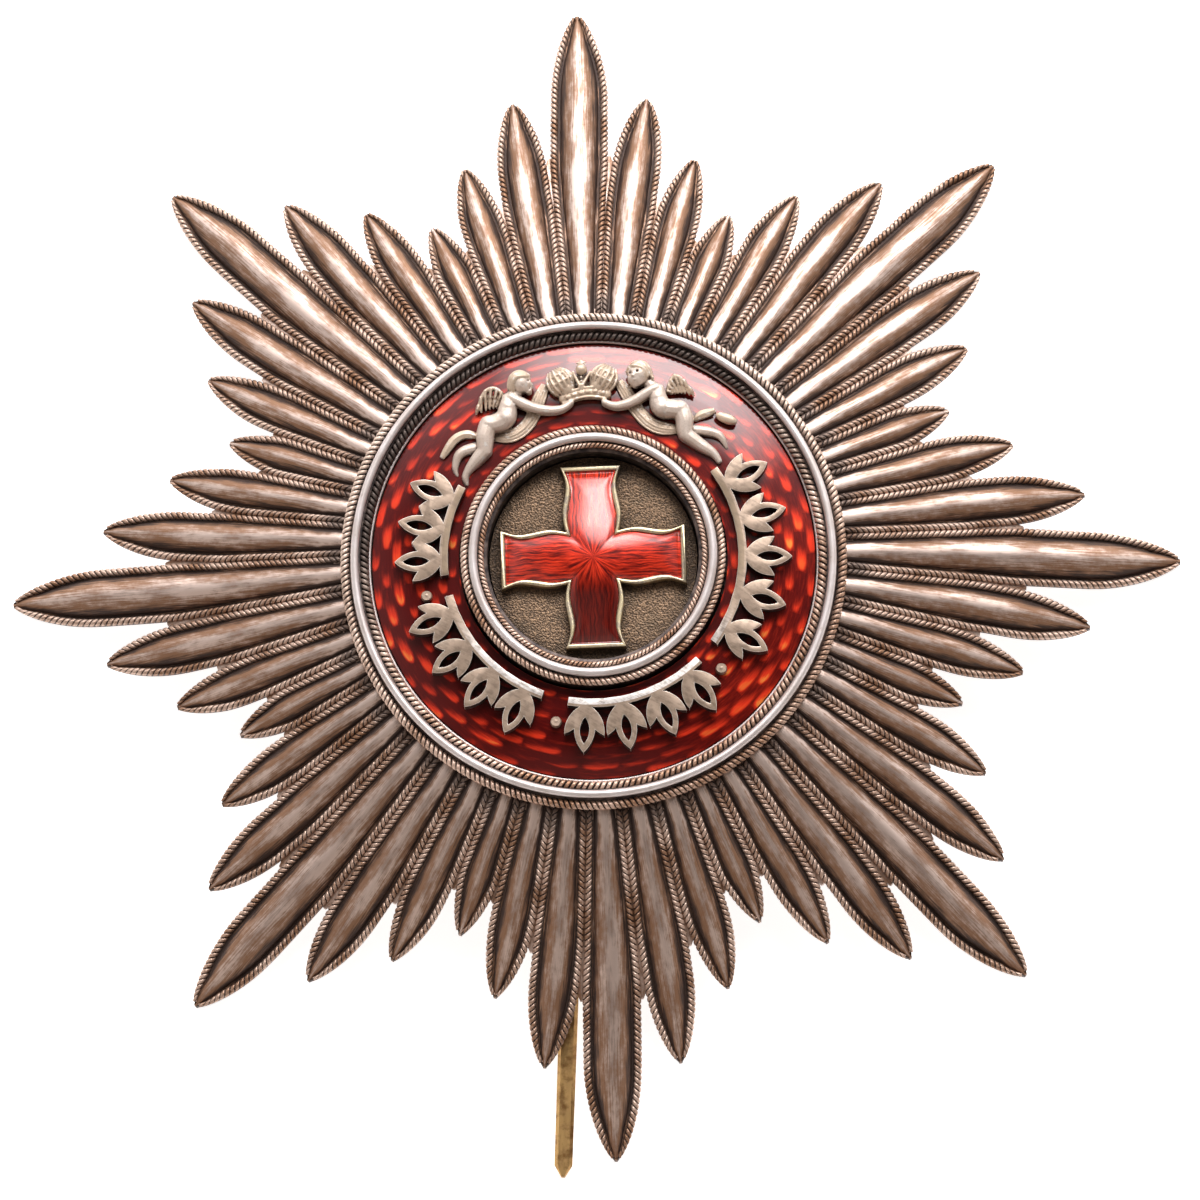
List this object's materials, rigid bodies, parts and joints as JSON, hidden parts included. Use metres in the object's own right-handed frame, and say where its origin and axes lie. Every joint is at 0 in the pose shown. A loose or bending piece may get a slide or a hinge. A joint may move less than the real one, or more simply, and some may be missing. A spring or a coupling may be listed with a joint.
{
  "type": "breast star",
  "caption": "Domed and rope-edged silver star with a red enamelled medallion, a raised cross, a crown carried by cherubs, ornament bands and a long hinged pin on its back.",
  "frame": {"origin": "on the star's axis, in the plane that the tips of its long rays rest on", "axes": "+Z out of the front, +Y to the top ray, +X to the viewer's right when the star hangs"},
  "size_m": [0.09, 0.091, 0.0125],
  "materials": {
    "silver": "polished silver with a brown patina, darker in the hollows",
    "bright_silver": "polished silver, dark between the mouldings",
    "applied_silver": "worn silver",
    "dark_field": "fine stipple, darkened",
    "red_enamel": "glossy translucent red over engraved metal",
    "gilt": "pale worn gilding",
    "brass": "aged brass"
  },
  "bodies": {
    "star": {"star_body": "silver", "outer_ring": "bright_silver", "enamel_ring": "red_enamel", "ornament_right": "applied_silver", "ornament_lower_right": "applied_silver", "ornament_lower_left": "applied_silver", "ornament_left": "applied_silver", "pellet_right": "applied_silver", "pellet_lower": "applied_silver", "pellet_left": "applied_silver", "crown_with_cherubs": "bright_silver", "inner_ring": "bright_silver", "centre_field": "dark_field", "cross_frame": "gilt", "cross_enamel": "red_enamel", "hinge": "brass", "hinge_axle": "brass", "catch": "brass"},
    "pin": {"pin": "brass"}
  },
  "joints": [
    {"name": "pin_hinge", "type": "hinge", "parent": "star", "child": "pin", "pos_m": [0, 0.014, 0.0042], "axis": [0.9977, -0.068, 0], "range_deg": [0, 85]}
  ]
}
